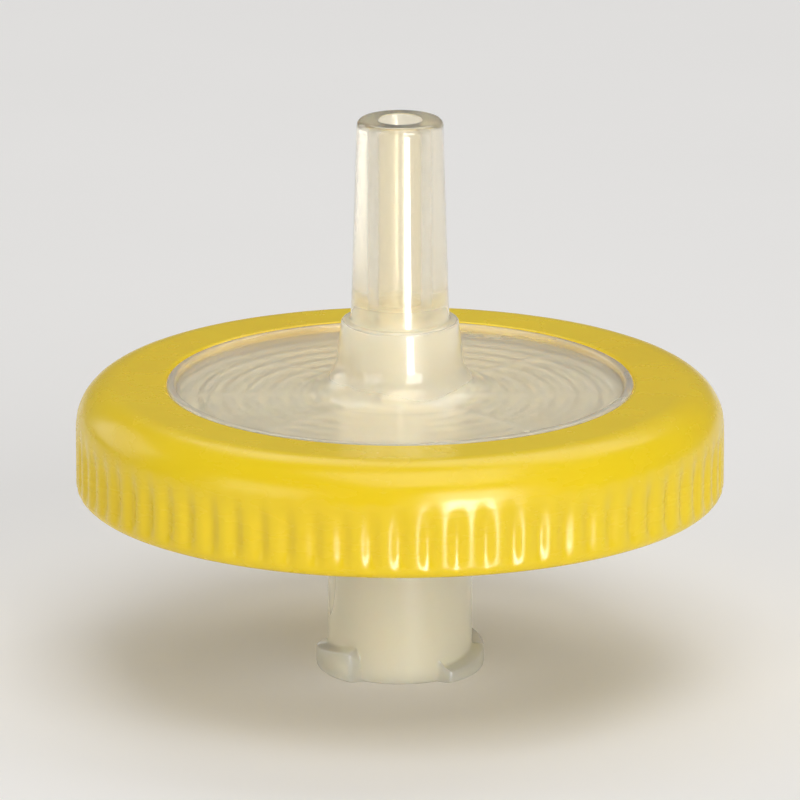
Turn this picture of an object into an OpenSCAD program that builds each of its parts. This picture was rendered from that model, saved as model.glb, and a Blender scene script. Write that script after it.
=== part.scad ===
// Disc syringe filter of the 25 mm class, with a Luer-lock inlet and a Luer slip outlet.
// Liquid flows along +Z. The filter stands on the flat end of its inlet port, and the
// origin is the centre of that end. Lengths are in millimetres.

/* [Ring] */
// Outside diameter of the overmoulded ring
ring_d = 30; // [29.5:0.5:33]
// Height of the ring between its two faces
ring_h = 5.2; // [5:0.1:6.5]
// Radial thickness of the ring outside the flanges that it grips
ring_wall = 1.8; // [1.5:0.1:1.9]
// Thickness of the two lips that reach over the flanges
lip_t = 1; // [0.8:0.1:1.1]
// Rounding of the rim on the outlet side
shoulder_r = 2; // [1:0.1:2.2]
// Rounding of the rim on the inlet side
edge_r = 0.5; // [0.2:0.1:0.7]

/* [Grip ribs] */
// Number of grip ribs round the rim
rib_count = 72; // [48:6:78]
// Height of the ribbed band, from the inlet face
rib_band_h = 3.2; // [2:0.1:3.6]
// Radius of the round grooves between the ribs
groove_r = 0.3; // [0.3:0.02:0.4]
// Depth of the grooves
groove_depth = 0.26; // [0.16:0.02:0.26]

/* [Windows] */
// Diameter of the window that the ring leaves open on each face
window_d = 21.6; // [20.6:0.2:22.4]
// Depth of the window plates below the faces of the ring
window_recess = 0.3; // [0.1:0.05:0.5]
// Width of the bead round each window that meets the ring
bead_w = 0.4; // [0.3:0.1:0.7]
// Thickness of the window plates
plate_t = 1.4; // [1:0.1:1.5]

/* [Membrane] */
// Diameter of the membrane disc
membrane_d = 25; // [24:0.2:25]
// Thickness of the membrane disc
membrane_t = 0.15; // [0.1:0.05:0.3]
// Radial clearance round the membrane in its pocket
pocket_gap = 0.05; // [0.02:0.01:0.08]

/* [Inside ridges] */
// Number of concentric ridges on each inside face
ridge_count = 8; // [4:1:9]
// Width of each ridge
ridge_w = 0.5; // [0.3:0.05:0.6]
// Height of the ridges on the inlet side
inlet_ridge_h = 0.35; // [0.2:0.05:0.4]
// Number of radial channels that cross the ridges
channel_count = 8; // [4:1:12]
// Width of the radial channels
channel_w = 0.5; // [0.4:0.1:1.2]

/* [Inlet port] */
// Length of the port, from its end to the ring's inlet face
inlet_len = 8.5; // [8.2:0.1:12]
// Outside diameter of the port's barrel
barrel_d = 6.7; // [6.4:0.1:7]
// Diameter over the two Luer-lock lugs
lug_d = 7.8; // [7.6:0.05:8]
// Height of the lugs at mid-length
lug_h = 1.2; // [1:0.1:1.6]
// Angle that each lug spans round the port
lug_span = 110; // [80:5:130]
// Slope of the lugs' ramp
lug_slope = 9; // [0:1:12]
// Diameter of the socket at its mouth
socket_d = 4.3; // [4.27:0.01:4.32]
// Depth of the tapered socket
socket_depth = 7.5; // [7:0.1:7.8]
// Diameter of the step disc at the root of the port
step_d = 10.4; // [9:0.2:12]
// Height of the step disc above the ring's inlet face
step_h = 1.2; // [0.6:0.1:1.6]

/* [Outlet port] */
// Height of the frosted boss above the ring's outlet face
boss_h = 3; // [2:0.1:5]
// Diameter of the boss at its shoulder
boss_d = 5.4; // [5.2:0.1:6.4]
// Diameter of the boss just above the window, before the fillet
boss_root_d = 5.8; // [5.4:0.1:6.8]
// Fillet between the boss and the window plate
boss_fillet = 1.7; // [0.6:0.1:2]
// Length of the Luer slip tip above the boss
tip_len = 9.5; // [7.5:0.1:10.5]
// Diameter of the tip at its end
tip_d = 4; // [3.93:0.01:4.03]
// Diameter of the flow bore
bore_d = 2; // [1.4:0.1:2.2]

/* [Hidden] */

// A Luer fit tapers by 6 % of its length on the diameter
luer_taper = 0.06;

// Heights, from the inlet port's end upwards
z_in_face = inlet_len;
z_out_face = inlet_len + ring_h;
z_in_step = z_in_face - step_h;
z_in_window = z_in_face + window_recess;
z_in_floor = z_in_window + plate_t;
z_in_flange = z_in_face + lip_t;
z_membrane = (z_in_face + z_out_face - membrane_t) / 2;
z_clamp = z_membrane + membrane_t;
z_out_flange = z_out_face - lip_t;
z_out_window = z_out_face - window_recess;
z_out_floor = z_out_window - plate_t;
z_fillet = z_out_window + boss_fillet;
z_shoulder = z_out_face + boss_h;
z_tip = z_shoulder + tip_len;

// Radii, from the axis outwards
bore_r = bore_d / 2;
socket_r = socket_d / 2;
socket_end_r = socket_r - luer_taper * socket_depth / 2;
tip_r = tip_d / 2;
tip_root_r = tip_r + luer_taper * tip_len / 2;
boss_r = boss_d / 2;
boss_root_r = boss_root_d / 2;
barrel_r = barrel_d / 2;
step_r = step_d / 2;
window_r = window_d / 2;
bead_r = window_r - bead_w;
chamber_r = bead_r;
pocket_r = membrane_d / 2 + pocket_gap;
ring_r = ring_d / 2;
flange_r = ring_r - ring_wall;

// Small edge breaks left by the mould
port_break = 0.3;
step_break = 0.25;
lip_break = 0.25;
boss_break = 0.15;

// The ridges fill the inside face from here to the chamber's wall
ridge_start_r = bore_r + 0.9;
ridge_pitch = (chamber_r - ridge_start_r) / ridge_count;
// The radial channels are cut this far below the foot of the ridges
channel_sink = 0.1;

// How far a cutter or a joined form runs past the face it meets
slack = 0.2;
round_fn = 96;
groove_fn = 24;

housing_colour = [0.93, 0.89, 0.8, 0.6];
outlet_colour = [0.95, 0.92, 0.84, 0.55];
membrane_colour = [0.99, 0.98, 0.93];
ring_colour = [0.97, 0.83, 0.11];

// The sliver that a round of radius r takes off a corner whose solid lies towards +X and +Y
module corner_cut(r) {
    difference() {
        translate([-slack, -slack]) square(r + slack);
        translate([r, r]) circle(r, $fn = round_fn);
    }
}

// A straight-edged break of size b on the same kind of corner
module corner_break(b) {
    polygon([[-slack, -slack], [b + slack, -slack], [-slack, b + slack]]);
}

// Outline of an inside face from the wall inwards, with ridges that rise from z_floor to z_top
function ridged_floor(z_floor, z_top) = [
    for (i = [ridge_count - 1 : -1 : 0])
        let (r = ridge_start_r + i * ridge_pitch)
        each [[r + ridge_w, z_floor], [r + ridge_w, z_top], [r, z_top], [r, z_floor]]
];

// Radial channels through the ridges, between two heights
module channels(z0, z1) {
    for (i = [0 : channel_count - 1])
        rotate([0, 0, i * 360 / channel_count])
            translate([ridge_start_r - slack, -channel_w / 2, z0])
                cube([chamber_r - ridge_start_r, channel_w, z1 - z0]);
}

// Section of the inlet half, with its tapered socket and the pocket for the membrane
module inlet_section() {
    difference() {
        polygon(concat(
            [
                [socket_r, 0],
                [barrel_r, 0],
                [barrel_r, z_in_step],
                [step_r, z_in_step],
                [step_r, z_in_window],
                [bead_r, z_in_window],
                [bead_r, z_in_face],
                [window_r, z_in_face],
                [window_r, z_in_flange],
                [flange_r, z_in_flange],
                [flange_r, z_clamp],
                [pocket_r, z_clamp],
                [pocket_r, z_membrane],
                [chamber_r, z_membrane],
                [chamber_r, z_in_floor]
            ],
            ridged_floor(z_in_floor, z_in_floor + inlet_ridge_h),
            [
                [bore_r, z_in_floor],
                [bore_r, socket_depth],
                [socket_end_r, socket_depth]
            ]
        ));
        translate([step_r, z_in_step]) mirror([1, 0]) corner_break(step_break);
        translate([socket_r, 0]) corner_break(port_break);
    }
}

// The two lugs on the port's end, each with a sloping face that draws the syringe's lock on
module luer_lugs() {
    half = lug_span / 2;
    reach = lug_d;
    for (side = [0, 180])
        rotate([0, 0, side])
            difference() {
                intersection() {
                    cylinder(d = lug_d, h = 2 * lug_h, $fn = round_fn);
                    linear_extrude(2 * lug_h)
                        polygon([
                            [0, 0],
                            [reach * cos(half), -reach * sin(half)],
                            [reach, 0],
                            [reach * cos(half), reach * sin(half)]
                        ]);
                }
                translate([0, 0, -slack]) cylinder(r = barrel_r - slack, h = 3 * lug_h, $fn = round_fn);
                translate([0, 0, lug_h]) rotate([lug_slope, 0, 0])
                    translate([-lug_d, -lug_d, 0]) cube([2 * lug_d, 2 * lug_d, 2 * lug_h]);
            }
}

module inlet_housing() {
    color(housing_colour) {
        difference() {
            rotate_extrude($fn = round_fn) inlet_section();
            channels(z_in_floor - channel_sink, z_membrane);
        }
        luer_lugs();
    }
}

module membrane() {
    color(membrane_colour)
        translate([0, 0, z_membrane]) cylinder(d = membrane_d, h = membrane_t, $fn = round_fn);
}

// Section of the outlet half, with its boss and the tapered slip tip
module outlet_section() {
    difference() {
        polygon(concat(
            [
                [bore_r, z_tip],
                [tip_r, z_tip],
                [tip_root_r, z_shoulder],
                [boss_r, z_shoulder],
                [boss_root_r, z_fillet],
                [boss_root_r + boss_fillet, z_fillet],
                [boss_root_r + boss_fillet, z_out_window],
                [bead_r, z_out_window],
                [bead_r, z_out_face],
                [window_r, z_out_face],
                [window_r, z_out_flange],
                [flange_r, z_out_flange],
                [flange_r, z_clamp],
                [chamber_r, z_clamp],
                [chamber_r, z_out_floor]
            ],
            ridged_floor(z_out_floor, z_clamp),
            [[bore_r, z_out_floor]]
        ));
        translate([boss_root_r + boss_fillet, z_fillet]) circle(boss_fillet, $fn = round_fn);
        translate([tip_r, z_tip]) mirror([1, 0]) mirror([0, 1]) corner_break(port_break);
        translate([boss_r, z_shoulder]) mirror([1, 0]) mirror([0, 1]) corner_break(boss_break);
    }
}

module outlet_housing() {
    color(outlet_colour)
        difference() {
            rotate_extrude($fn = round_fn) outlet_section();
            channels(z_clamp - slack, z_out_floor + channel_sink);
        }
}

// Section of the ring: a rim with two lips that hold the flanges together
module ring_section() {
    difference() {
        translate([window_r, z_in_face]) square([ring_r - window_r, ring_h]);
        translate([window_r - slack, z_in_flange])
            square([flange_r - window_r + slack, z_out_flange - z_in_flange]);
        translate([ring_r, z_out_face]) mirror([1, 0]) mirror([0, 1]) corner_cut(shoulder_r);
        translate([ring_r, z_in_face]) mirror([1, 0]) corner_cut(edge_r);
        translate([window_r, z_out_face]) mirror([0, 1]) corner_break(lip_break);
        translate([window_r, z_in_face]) corner_break(lip_break);
    }
}

// The grooves that leave the grip ribs standing. Each runs out in a short cone.
module rib_grooves() {
    run_out = 3 * groove_r;
    straight = rib_band_h - run_out;
    for (i = [0 : rib_count - 1])
        rotate([0, 0, i * 360 / rib_count])
            translate([ring_r + groove_r - groove_depth, 0, z_in_face]) {
                translate([0, 0, -slack]) cylinder(r = groove_r, h = straight + slack, $fn = groove_fn);
                translate([0, 0, straight]) cylinder(r1 = groove_r, r2 = 0, h = run_out, $fn = groove_fn);
            }
}

module overmould_ring() {
    color(ring_colour)
        difference() {
            rotate_extrude($fn = round_fn) ring_section();
            rib_grooves();
        }
}

inlet_housing();
membrane();
outlet_housing();
overmould_ring();
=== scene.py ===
import math
import bpy
import bmesh
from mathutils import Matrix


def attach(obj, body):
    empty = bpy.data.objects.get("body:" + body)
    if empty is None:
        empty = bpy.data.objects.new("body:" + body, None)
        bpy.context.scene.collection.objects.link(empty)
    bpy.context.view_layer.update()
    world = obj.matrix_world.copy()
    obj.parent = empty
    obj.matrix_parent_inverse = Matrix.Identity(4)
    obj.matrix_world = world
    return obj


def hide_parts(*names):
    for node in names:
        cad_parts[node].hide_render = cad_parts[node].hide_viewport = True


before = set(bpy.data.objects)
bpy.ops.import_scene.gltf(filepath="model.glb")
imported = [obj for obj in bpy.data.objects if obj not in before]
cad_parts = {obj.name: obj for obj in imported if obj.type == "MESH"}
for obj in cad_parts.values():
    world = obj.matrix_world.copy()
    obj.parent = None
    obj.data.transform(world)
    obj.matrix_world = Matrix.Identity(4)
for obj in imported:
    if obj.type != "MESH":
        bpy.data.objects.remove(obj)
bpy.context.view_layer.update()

# ---- Inlet housing ----
# The lower half of the capsule: a Luer-lock port on a round window plate, with a flange that
# carries the membrane. It is one injection moulding in natural polypropylene, frosted by a
# spark-eroded mould. Fine ridges on its inside face spread the liquid over the membrane.
MM = 0.001                  # sizes are in millimetres, and the scene is in metres
INLET_FACE = 8.5            # the ring's face on the inlet side, above the end of the port
RING_HEIGHT = 5.2
RING_LIP = 1.0              # height of the ring's lip over each flange
STEP_H = 1.2                # the disc between the barrel and the window plate
WINDOW_SINK, PLATE_T = 0.3, 1.4
MEMBRANE_T = 0.15
OUTLET_FACE = INLET_FACE + RING_HEIGHT
STEP_TOP = INLET_FACE - STEP_H
INLET_WINDOW = INLET_FACE + WINDOW_SINK
INLET_FLOOR = INLET_WINDOW + PLATE_T
INLET_FLANGE = INLET_FACE + RING_LIP
MEMBRANE_Z = INLET_FACE + (RING_HEIGHT - MEMBRANE_T) / 2
CLAMP_Z = MEMBRANE_Z + MEMBRANE_T
SOCKET_R, SOCKET_END_R, SOCKET_DEPTH = 2.15, 1.925, 7.5
BARREL_R, STEP_R, BORE_R = 3.35, 5.2, 1.0
CHAMBER_R, WINDOW_R = 10.4, 10.8
POCKET_R, FLANGE_R = 12.55, 13.2
RIDGES, RIDGE_START_R, RIDGE_W = 8, 1.9, 0.5
RIDGE_DRAFT, RIDGE_ROUND = 0.03, 0.1
RIDGE_PITCH = (CHAMBER_R - RIDGE_START_R) / RIDGES
INLET_RIDGE_H = 0.35
CHANNELS, CHANNEL_HALF, CHANNEL_SINK = 8, 0.25, 0.1
CHANNEL_START_R, CHANNEL_END_R = 1.7, 10.2
WALL_RUN = 0.035            # half the width over which a channel's wall drops
LUG_R, LUG_H, LUG_SPAN, LUG_SLOPE = 3.9, 1.2, 110.0, 9.0
LUG_END = 7.0               # angle over which each end of a lug rises from the barrel
LUG_EDGE, LUG_EDGE_ROWS = 0.24, 6       # rounding of a lug's upper edge, and its rows
LUG_FOOT = 0.15             # the first row of bare barrel above a lug
SETTLE_START, SETTLE = 0.1, 3.5         # where rows above a lug begin to level out, and how long
AIR = 0.008                 # hairline left between parts that only touch
HAIR = 0.001                # levels closer than this are the same level
SAME_POINT, NO_EDGE = 0.0002, 0.00001   # mesh points and edges smaller than these are merged


def rounded(corners, steps):
    """The outline through these (r, z, radius) corners, each turned into an arc of its radius."""
    outline = []
    for i, (r, z, radius) in enumerate(corners):
        before, after = corners[i - 1], corners[(i + 1) % len(corners)]
        if radius <= 0:
            outline.append((r, z))
            continue
        ar, az = before[0] - r, before[1] - z
        br, bz = after[0] - r, after[1] - z
        al, bl = math.hypot(ar, az), math.hypot(br, bz)
        ar, az, br, bz = ar / al, az / al, br / bl, bz / bl
        half = math.acos(max(-1.0, min(1.0, ar * br + az * bz))) / 2
        reach = radius / math.tan(half)
        cr, cz = ar + br, az + bz
        cl = math.hypot(cr, cz)
        out = radius / math.sin(half)
        cr, cz = r + cr / cl * out, z + cz / cl * out
        start = math.atan2(z + az * reach - cz, r + ar * reach - cr)
        end = math.atan2(z + bz * reach - cz, r + br * reach - cr)
        turn = (end - start + math.pi) % (2 * math.pi) - math.pi
        for k in range(steps + 1):
            a = start + turn * k / steps
            outline.append((cr + radius * math.cos(a), cz + radius * math.sin(a)))
    return outline


def with_lands(outline, long_run=0.9, land=0.07):
    """The outline with a point close to each end of its long runs, so that flats stay flat."""
    full = []
    for (r0, z0), (r1, z1) in zip(outline, outline[1:] + outline[:1]):
        full.append((r0, z0))
        run = math.hypot(r1 - r0, z1 - z0)
        if run > long_run:
            for s in (land / run, 1 - land / run):
                full.append((r0 + (r1 - r0) * s, z0 + (z1 - z0) * s))
    return full


def turned(name, outline, angles, shape=None, closed=True):
    """A mesh swept round Z from an outline of (r, z) in mm, with a column at each of the angles."""
    points, faces, turns = [], [], len(angles)
    for r, z in outline:
        for angle in angles:
            pr, pz, pa = shape(r, z, angle) if shape else (r, z, angle)
            a = math.radians(pa)
            points.append((pr * math.cos(a) * MM, pr * math.sin(a) * MM, pz * MM))
    for row in range(len(outline) if closed else len(outline) - 1):
        here, there = row * turns, (row + 1) % len(outline) * turns
        for t in range(turns):
            u = (t + 1) % turns
            faces.append((here + t, here + u, there + u, there + t))
    mesh = bpy.data.meshes.new(name)
    mesh.from_pydata(points, [], faces)
    bm = bmesh.new()
    bm.from_mesh(mesh)
    bmesh.ops.remove_doubles(bm, verts=bm.verts, dist=SAME_POINT * MM)
    bmesh.ops.dissolve_degenerate(bm, edges=bm.edges, dist=NO_EDGE * MM)
    bmesh.ops.recalc_face_normals(bm, faces=bm.faces)
    bm.to_mesh(mesh)
    bm.free()
    mesh.shade_smooth()
    piece = bpy.data.objects.new(name, mesh)
    bpy.context.scene.collection.objects.link(piece)
    return piece


def ridge_corners(floor, top):
    """Corners of the concentric ridges on an inside face, from the wall inwards."""
    corners = []
    for i in range(RIDGES - 1, -1, -1):
        r = RIDGE_START_R + i * RIDGE_PITCH
        corners += [(r + RIDGE_W, floor, 0), (r + RIDGE_W - RIDGE_DRAFT, top, RIDGE_ROUND),
                    (r + RIDGE_DRAFT, top, RIDGE_ROUND), (r, floor, 0)]
    return corners


def smooth(x):
    """0 below 0, 1 above 1, and a soft step between."""
    x = max(0.0, min(1.0, x))
    return x * x * (3 - 2 * x)


SECTOR = 360.0 / CHANNELS
IN_CHANNEL, PAST_EDGE = 3, 4    # columns, a degree apart, from a channel's middle to its wall


def across_channel(r, angle):
    """The angle moved so that columns follow the straight channel walls, and 1 on the ridges."""
    off = (angle / SECTOR + 0.5) % 1 * SECTOR - SECTOR / 2
    middle = angle - off
    edge = math.degrees(math.asin(CHANNEL_HALF / r))
    soft = math.degrees(WALL_RUN / r)
    side, count = math.copysign(1, off), abs(off)
    if count <= IN_CHANNEL:
        return middle + side * count / IN_CHANNEL * (edge - soft), 0.0
    rest = (count - PAST_EDGE) / (SECTOR / 2 - PAST_EDGE)
    return middle + side * (edge + soft + rest * (SECTOR / 2 - edge - soft)), 1.0


def lug_share(angle):
    """1 on either lug, 0 between them, and how far round from the lug's middle this angle is."""
    off = (angle / 180.0 + 0.5) % 1 * 180.0 - 90.0
    return 1 - smooth((abs(off) - LUG_SPAN / 2 + LUG_END / 2) / LUG_END), off


def inlet_shape(r, z, angle):
    """Cuts the channels through the ridges, and raises the two sloping lugs from the barrel."""
    if z > INLET_FLOOR - HAIR and CHANNEL_START_R < r < CHANNEL_END_R:
        turned_to, ridge = across_channel(r, angle)
        return r, INLET_FLOOR + (z - INLET_FLOOR) * ridge - CHANNEL_SINK * (1 - ridge), turned_to
    if z < STEP_TOP / 2 and r > (SOCKET_R + BARREL_R) / 2:
        share, off = lug_share(angle)
        if z <= LUG_H:
            lift = z / LUG_H
        else:
            lift = 1 - smooth((z - LUG_H - SETTLE_START) / SETTLE)
        slope = LUG_R * math.sin(math.radians(off)) * math.tan(math.radians(LUG_SLOPE))
        height = share * (1 - smooth((z - LUG_H + LUG_EDGE) / LUG_EDGE))
        return r + (LUG_R - BARREL_R) * height, z + slope * lift * share, angle
    return r, z, angle


lug_rows = [(BARREL_R, LUG_H - LUG_EDGE * k / LUG_EDGE_ROWS, 0) for k in range(LUG_EDGE_ROWS, -1, -1)]
inlet_outline = with_lands(rounded([
    (SOCKET_R, 0, 0.35), (BARREL_R, 0, 0.3), *lug_rows, (BARREL_R, LUG_H + LUG_FOOT, 0),
    (BARREL_R, STEP_TOP, 0.25), (STEP_R, STEP_TOP, 0.25),
    (STEP_R, INLET_WINDOW, 0.15), (CHAMBER_R, INLET_WINDOW, 0.1),
    (CHAMBER_R, INLET_FACE, 0.12), (WINDOW_R, INLET_FACE, 0.12),
    (WINDOW_R, INLET_FLANGE, 0), (FLANGE_R, INLET_FLANGE, 0.05),
    (FLANGE_R, CLAMP_Z - AIR, 0.05), (POCKET_R, CLAMP_Z - AIR, 0),
    (POCKET_R, MEMBRANE_Z, 0), (CHAMBER_R, MEMBRANE_Z, 0.05),
    (CHAMBER_R, INLET_FLOOR, 0.1),
    *ridge_corners(INLET_FLOOR, INLET_FLOOR + INLET_RIDGE_H),
    (CHANNEL_START_R, INLET_FLOOR, 0), (BORE_R, INLET_FLOOR, 0.1), (BORE_R, SOCKET_DEPTH, 0.1),
    (SOCKET_END_R, SOCKET_DEPTH, 0.15),
], steps=4))
whole_turn = [float(i) for i in range(360)]
inlet = turned("inlet_housing_moulding", inlet_outline, whole_turn, inlet_shape)


def plastic(name):
    """A new node material with its shader and its coordinates on the piece."""
    material = bpy.data.materials.new(name)
    material.use_nodes = True
    tree = material.node_tree
    shader = tree.nodes["Principled BSDF"]
    place = tree.nodes.new("ShaderNodeTexCoord").outputs["Object"]
    return material, tree, shader, place


def grain(tree, place, scale, detail, stretch=None):
    """Noise over the piece, in grains of 1/scale metres, drawn out along an axis if stretched."""
    if stretch:
        mapping = tree.nodes.new("ShaderNodeMapping")
        mapping.inputs["Scale"].default_value = stretch
        tree.links.new(place, mapping.inputs["Vector"])
        place = mapping.outputs["Vector"]
    noise = tree.nodes.new("ShaderNodeTexNoise")
    noise.inputs["Scale"].default_value = scale
    noise.inputs["Detail"].default_value = detail
    tree.links.new(place, noise.inputs["Vector"])
    return noise.outputs["Fac"]


def spread(tree, value, low, high, start=0.3, end=0.7):
    """The part of a value from start to end, spread between low and high."""
    node = tree.nodes.new("ShaderNodeMapRange")
    node.inputs["From Min"].default_value = start
    node.inputs["From Max"].default_value = end
    node.inputs["To Min"].default_value = low
    node.inputs["To Max"].default_value = high
    tree.links.new(value, node.inputs["Value"])
    return node.outputs["Result"]


def tinted(tree, value, one, other):
    """A colour between one and other by value."""
    node = tree.nodes.new("ShaderNodeMix")
    node.data_type = "RGBA"
    tree.links.new(value, node.inputs["Factor"])
    node.inputs["A"].default_value = (*one, 1)
    node.inputs["B"].default_value = (*other, 1)
    return node.outputs["Result"]


def raised(tree, shader, *heights):
    """Bumps from (value, strength, height in metres), one on the other, onto the shader."""
    below = None
    for value, strength, height in heights:
        bump = tree.nodes.new("ShaderNodeBump")
        bump.inputs["Strength"].default_value = strength
        bump.inputs["Distance"].default_value = height
        tree.links.new(value, bump.inputs["Height"])
        if below:
            tree.links.new(below, bump.inputs["Normal"])
        below = bump.outputs["Normal"]
    tree.links.new(below, shader.inputs["Normal"])


def lets_lamps_in(tree, shader, colour):
    """Lamps shine through the plastic onto what lies behind it, tinted by each wall."""
    path = tree.nodes.new("ShaderNodeLightPath")
    clear = tree.nodes.new("ShaderNodeBsdfTransparent")
    clear.inputs["Color"].default_value = (*colour, 1)
    mix = tree.nodes.new("ShaderNodeMixShader")
    tree.links.new(path.outputs["Is Shadow Ray"], mix.inputs["Fac"])
    tree.links.new(shader.outputs["BSDF"], mix.inputs[1])
    tree.links.new(clear.outputs["BSDF"], mix.inputs[2])
    tree.links.new(mix.outputs["Shader"], tree.nodes["Material Output"].inputs["Surface"])


def by_height(tree, place, *stops):
    """A value that follows (height in mm, value) stops up the piece."""
    apart = tree.nodes.new("ShaderNodeSeparateXYZ")
    tree.links.new(place, apart.inputs["Vector"])
    low, high = stops[0][0], stops[-1][0]
    share = spread(tree, apart.outputs["Z"], 0.0, 1.0, low * MM, high * MM)
    ramp = tree.nodes.new("ShaderNodeValToRGB")
    elements = ramp.color_ramp.elements
    for height, value in stops[1:-1]:
        elements.new((height - low) / (high - low))
    for element, (height, value) in zip(elements, stops):
        element.color = (value, value, value, 1)
    tree.links.new(share, ramp.inputs["Fac"])
    return ramp.outputs["Color"]


def summed(tree, one, other):
    """One value added to another."""
    node = tree.nodes.new("ShaderNodeMath")
    node.operation = "ADD"
    tree.links.new(one, node.inputs[0])
    tree.links.new(other, node.inputs[1])
    return node.outputs["Value"]


def natural_polypropylene(name, clearness, finish):
    """Natural polypropylene, cloudy inside, with stops up the piece for how clear and how rough."""
    material, tree, shader, place = plastic(name)
    cloud = grain(tree, place, 260, 3.0)
    flow = grain(tree, place, 90, 4.0, (1.0, 1.0, 0.25))
    spark = grain(tree, place, 5200, 2.0)
    tree.links.new(tinted(tree, cloud, (0.93, 0.865, 0.71), (0.96, 0.905, 0.78)),
                   shader.inputs["Base Color"])
    tree.links.new(by_height(tree, place, *clearness), shader.inputs["Transmission Weight"])
    tree.links.new(summed(tree, spread(tree, flow, -0.04, 0.05), by_height(tree, place, *finish)),
                   shader.inputs["Roughness"])
    shader.inputs["IOR"].default_value = 1.49
    shader.inputs["Subsurface Weight"].default_value = 1.0
    shader.inputs["Subsurface Radius"].default_value = (1.0, 0.9, 0.75)
    shader.inputs["Subsurface Scale"].default_value = 0.0012
    shader.inputs["Coat Roughness"].default_value = 0.06
    shader.inputs["Coat IOR"].default_value = 1.49
    raised(tree, shader, (cloud, 0.1, 0.00005), (spark, 0.2, 0.000008))
    lets_lamps_in(tree, shader, (0.88, 0.845, 0.75))
    return material, tree, shader, place


material, tree, shader, place = natural_polypropylene(
    "frosted_polypropylene",
    clearness=((STEP_TOP - 1.0, 0.42), (STEP_TOP, 0.45), (INLET_WINDOW, 0.62)),
    finish=((STEP_TOP, 0.28), (INLET_WINDOW, 0.24), (INLET_FLOOR, 0.22)))
shader.inputs["Coat Weight"].default_value = 0.5
inlet.data.materials.append(material)
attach(inlet, "root")
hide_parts("inlet_housing")

# ---- Membrane ----
# A 25 mm disc of matt white porous polymer, punched from a cast sheet. It lies loose in the
# inlet flange's pocket until the two halves press it against their ridges.
MEMBRANE_R, CUT_EDGE = 12.5, 0.03
DISC_ROWS = 26
over, under = CLAMP_Z - AIR, MEMBRANE_Z + AIR
disc_rows = [MEMBRANE_R * i / DISC_ROWS for i in range(DISC_ROWS)]
membrane_outline = [(r, over) for r in disc_rows]
membrane_outline += [(MEMBRANE_R - CUT_EDGE, over), (MEMBRANE_R, over - CUT_EDGE),
                     (MEMBRANE_R, under + CUT_EDGE), (MEMBRANE_R - CUT_EDGE, under)]
membrane_outline += [(r, under) for r in reversed(disc_rows)]
membrane = turned("membrane_disc", membrane_outline, whole_turn[::2], closed=False)
material, tree, shader, place = plastic("cast_porous_polymer")
pores, sheet_cloud = grain(tree, place, 9000, 3.0), grain(tree, place, 150, 3.0)
tree.links.new(tinted(tree, sheet_cloud, (0.91, 0.87, 0.74), (0.95, 0.92, 0.81)),
               shader.inputs["Base Color"])
tree.links.new(spread(tree, pores, 0.8, 0.95), shader.inputs["Roughness"])
raised(tree, shader, (sheet_cloud, 0.2, 0.00003), (pores, 0.4, 0.00001))
membrane.data.materials.append(material)
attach(membrane, "root")
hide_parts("membrane")

# ---- Outlet housing ----
# The upper half: a window plate with a frosted boss that flares into it and a clear Luer slip
# tip. It is moulded in the same polypropylene. The tip comes from a polished core, so it is
# glossy, and its inside face has taller ridges that hold the membrane up.
BOSS_H, TIP_LENGTH = 3.0, 9.5
SHOULDER_Z = OUTLET_FACE + BOSS_H
TIP_Z = SHOULDER_Z + TIP_LENGTH
TIP_R, TIP_ROOT_R = 2.0, 2.285
BOSS_R, BOSS_ROOT_R, BOSS_FILLET = 2.7, 2.9, 1.7
OUTLET_WINDOW = OUTLET_FACE - WINDOW_SINK
OUTLET_FLOOR = OUTLET_WINDOW - PLATE_T
OUTLET_FLANGE = OUTLET_FACE - RING_LIP
FOOT_TOP, FOOT_STEPS = OUTLET_WINDOW + BOSS_FILLET, 12


def outlet_shape(r, z, angle):
    """Cuts the channels through the ridges."""
    if z < OUTLET_FLOOR + HAIR and CHANNEL_START_R < r < CHANNEL_END_R:
        turned_to, ridge = across_channel(r, angle)
        return r, OUTLET_FLOOR + (z - OUTLET_FLOOR) * ridge + CHANNEL_SINK * (1 - ridge), turned_to
    return r, z, angle


foot_arc = []
for k in range(FOOT_STEPS + 1):
    a = math.pi + math.pi / 2 * k / FOOT_STEPS
    foot_arc.append((BOSS_ROOT_R + BOSS_FILLET * (1 + math.cos(a)),
                     FOOT_TOP + BOSS_FILLET * math.sin(a), 0))
outlet_outline = with_lands(rounded([
    (BORE_R, TIP_Z, 0.12), (TIP_R, TIP_Z, 0.3), (TIP_ROOT_R, SHOULDER_Z, 0.1),
    (BOSS_R, SHOULDER_Z, 0.15), *foot_arc,
    (CHAMBER_R, OUTLET_WINDOW, 0.1), (CHAMBER_R, OUTLET_FACE, 0.12),
    (WINDOW_R, OUTLET_FACE, 0.12), (WINDOW_R, OUTLET_FLANGE, 0),
    (FLANGE_R, OUTLET_FLANGE, 0.05), (FLANGE_R, CLAMP_Z, 0.05), (CHAMBER_R, CLAMP_Z, 0.05),
    (CHAMBER_R, OUTLET_FLOOR, 0.1),
    *ridge_corners(OUTLET_FLOOR, CLAMP_Z + AIR),
    (CHANNEL_START_R, OUTLET_FLOOR, 0), (BORE_R, OUTLET_FLOOR, 0.1),
], steps=4))
outlet = turned("outlet_housing_moulding", outlet_outline, whole_turn, outlet_shape)
ABOVE_FOOT, UNDER_SHOULDER, INTO_TIP = OUTLET_WINDOW + 0.9, SHOULDER_Z - 0.3, SHOULDER_Z + 1.0


def up_the_outlet(window, boss, tip):
    """Stops for a value on the window, the boss and the tip, with soft changes between them."""
    return (OUTLET_WINDOW, window), (ABOVE_FOOT, boss), (UNDER_SHOULDER, boss), (INTO_TIP, tip)


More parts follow.
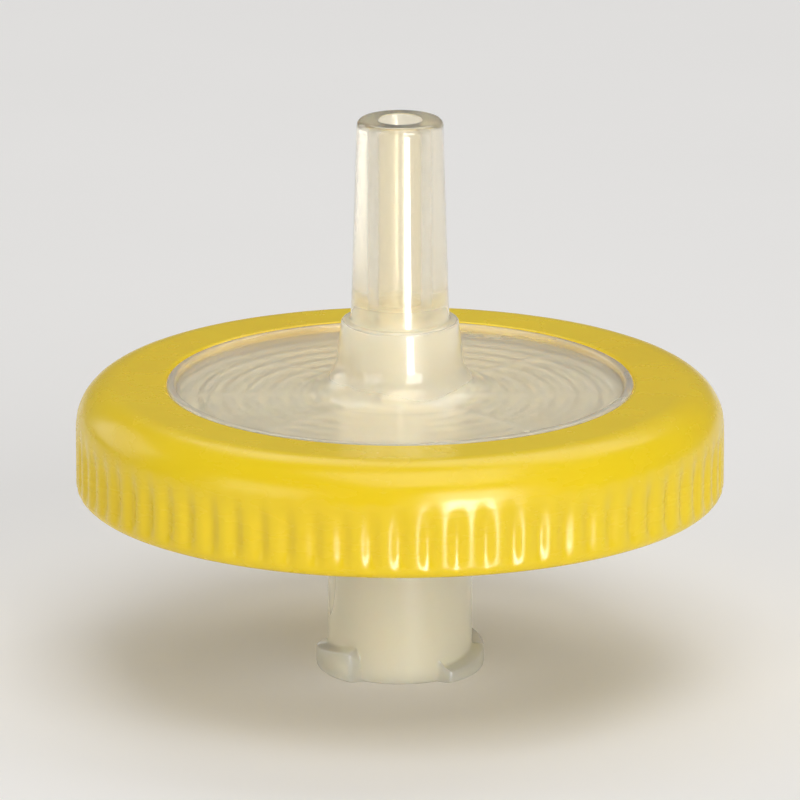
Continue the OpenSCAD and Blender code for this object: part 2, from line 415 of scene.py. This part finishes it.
material, tree, shader, place = natural_polypropylene(
    "polished_port_polypropylene",
    clearness=up_the_outlet(0.62, 0.48, 0.92),
    finish=up_the_outlet(0.23, 0.3, 0.16))
gloss = by_height(tree, place, *up_the_outlet(0.3, 1.0, 1.0))
tree.links.new(gloss, shader.inputs["Coat Weight"])
outlet.data.materials.append(material)
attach(outlet, "root")
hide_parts("outlet_housing")

# ---- Overmoulded ring ----
# Yellow polypropylene, moulded round both flanges in a second shot. It welds the halves
# together, and its ribs give the fingers a grip. They die out softly towards the inlet edge
# and into the smooth rounded shoulder.
RING_R, SHOULDER_ROUND, EDGE_ROUND, LIP_BREAK = 15.0, 2.0, 0.5, 0.25
RIBS, BAND_H, GROOVE_DEPTH = 72, 3.8, 0.19
BAND_START, BAND_ROW, BAND_ROWS = 0.6, 0.15, 18
SHOULDER_STEPS = 14
RUN_OUT = 2.0               # length over which a groove fades out towards the shoulder
EDGE_RISE = 1.2             # length over which it deepens from the inlet edge
GROOVE_NARROWING = 1.4      # 1 makes the grooves as wide as the ribs, and more makes them narrower
RIB_COLUMNS = 14
BITE = 0.01                 # the second shot melts this far into the flanges
RIB_ANGLE = 360.0 / RIBS


def ring_shape(r, z, angle):
    """Sinks the grooves between the round ribs. They grow shallow towards both ends."""
    up = z - INLET_FACE
    if r < (FLANGE_R + RING_R) / 2 or up > BAND_H:
        return r, z, angle
    wave = (0.5 + 0.5 * math.cos(math.radians(angle * RIBS))) ** GROOVE_NARROWING
    depth = GROOVE_DEPTH * smooth(up / EDGE_RISE) * smooth((BAND_H - up) / RUN_OUT)
    return r - depth * wave, z, angle


ring_turn = [RIB_ANGLE * t / RIB_COLUMNS for t in range(RIBS * RIB_COLUMNS)]
shoulder = []
for k in range(SHOULDER_STEPS + 1):
    a = math.pi / 2 * k / SHOULDER_STEPS
    shoulder.append((RING_R - SHOULDER_ROUND + SHOULDER_ROUND * math.cos(a),
                     OUTLET_FACE - SHOULDER_ROUND + SHOULDER_ROUND * math.sin(a), 0))
band = [(RING_R, INLET_FACE + BAND_START + BAND_ROW * i, 0) for i in range(BAND_ROWS)]
ring_outline = with_lands(rounded([
    (WINDOW_R - BITE, INLET_FACE, LIP_BREAK), (RING_R, INLET_FACE, EDGE_ROUND), *band, *shoulder,
    (WINDOW_R - BITE, OUTLET_FACE, LIP_BREAK), (WINDOW_R - BITE, OUTLET_FLANGE - BITE, 0),
    (FLANGE_R - BITE, OUTLET_FLANGE - BITE, 0), (FLANGE_R - BITE, INLET_FLANGE + BITE, 0),
    (WINDOW_R - BITE, INLET_FLANGE + BITE, 0),
], steps=6))
ring = turned("overmoulded_ring", ring_outline, ring_turn, ring_shape)

material, tree, shader, place = plastic("yellow_polypropylene")
swirl = grain(tree, place, 110, 4.0, (1.0, 1.0, 0.5))
skin = grain(tree, place, 900, 3.0)
scuff = grain(tree, place, 420, 5.0, (1.0, 1.0, 3.0))
swirled = spread(tree, swirl, 0.0, 1.0)
tree.links.new(tinted(tree, swirled, (0.84, 0.59, 0.006), (0.88, 0.645, 0.010)),
               shader.inputs["Base Color"])
tree.links.new(spread(tree, scuff, 0.2, 0.32), shader.inputs["Roughness"])
shader.inputs["IOR"].default_value = 1.49
shader.inputs["Subsurface Weight"].default_value = 0.12
shader.inputs["Subsurface Radius"].default_value = (1.0, 0.7, 0.1)
shader.inputs["Subsurface Scale"].default_value = 0.0006
raised(tree, shader, (swirl, 0.06, 0.0001), (skin, 0.05, 0.00002))
ring.data.materials.append(material)
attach(ring, "root")
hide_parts("overmould_ring")

# ---- Floor, light and camera ----
# The filter stands on the flat end of its inlet port on a plain matt table, in soft studio
# light: a wide key lamp to the right, a weak fill to the left, one overhead and two behind.
REACH = 3.0                 # from the filter to the table's edges, in metres
floor_mesh = bpy.data.meshes.new("table")
table_corners = [(-REACH, -REACH, 0), (REACH, -REACH, 0), (REACH, REACH, 0), (-REACH, REACH, 0)]
floor_mesh.from_pydata(table_corners, [], [(0, 1, 2, 3)])
floor = bpy.data.objects.new("table", floor_mesh)
bpy.context.scene.collection.objects.link(floor)
material, tree, shader, place = plastic("pale_table")
paper = grain(tree, place, 40, 4.0)
tree.links.new(tinted(tree, paper, (0.91, 0.90, 0.89), (0.94, 0.93, 0.92)),
               shader.inputs["Base Color"])
tree.links.new(spread(tree, paper, 0.8, 0.9), shader.inputs["Roughness"])
shader.inputs["Specular IOR Level"].default_value = 0.0
floor_mesh.materials.append(material)

world = bpy.data.worlds.new("studio")
bpy.context.scene.world = world
world.use_nodes = True
world.node_tree.nodes["Background"].inputs["Color"].default_value = (1.0, 0.985, 0.96, 1)
world.node_tree.nodes["Background"].inputs["Strength"].default_value = 0.2


def lamp(name, azimuth, elevation, distance, size, power, target=(0, 0, 0.012)):
    """A soft rectangular lamp, aimed at the target. Azimuth 0 is in front of the filter."""
    data = bpy.data.lights.new(name, "AREA")
    data.shape, data.size, data.size_y, data.energy = "RECTANGLE", size[0], size[1], power
    a, e = math.radians(azimuth), math.radians(elevation)
    holder = bpy.data.objects.new(name, data)
    direction = (math.sin(a) * math.cos(e), -math.cos(a) * math.cos(e), math.sin(e))
    holder.location = [t + d * distance for t, d in zip(target, direction)]
    holder.rotation_euler = (math.pi / 2 - e, 0, a)
    holder.visible_camera = False
    bpy.context.scene.collection.objects.link(holder)
    return holder


lamp("key", 26, 17, 0.5, (0.24, 0.28), 1.1)
lamp("fill", -50, 17, 0.6, (0.36, 0.3), 0.6)
lamp("top", 20, 72, 0.6, (0.45, 0.45), 1.3)
lamp("back", 165, 55, 0.6, (0.6, 0.3), 0.9)
lamp("rear", 235, 20, 0.6, (0.36, 0.3), 0.4)
# A narrow strip stands on the table in front. It only adds the line of light down the tip.
strip = lamp("strip", 19, 0, 0.048, (0.010, 0.016), 0.009, (0, 0, 0.009))
strip.visible_diffuse = False

camera_data = bpy.data.cameras.new("camera")
camera_data.lens = 500
camera = bpy.data.objects.new("camera", camera_data)
tilt, away, aim = math.radians(15.5), 0.514, (0, 0, 0.0128)
camera.location = (aim[0], aim[1] - away * math.cos(tilt), aim[2] + away * math.sin(tilt))
camera.rotation_euler = (math.pi / 2 - tilt, 0, 0)
bpy.context.scene.collection.objects.link(camera)
bpy.context.scene.camera = camera
bpy.context.scene.view_settings.view_transform = "Standard"

bpy.context.view_layer.update()
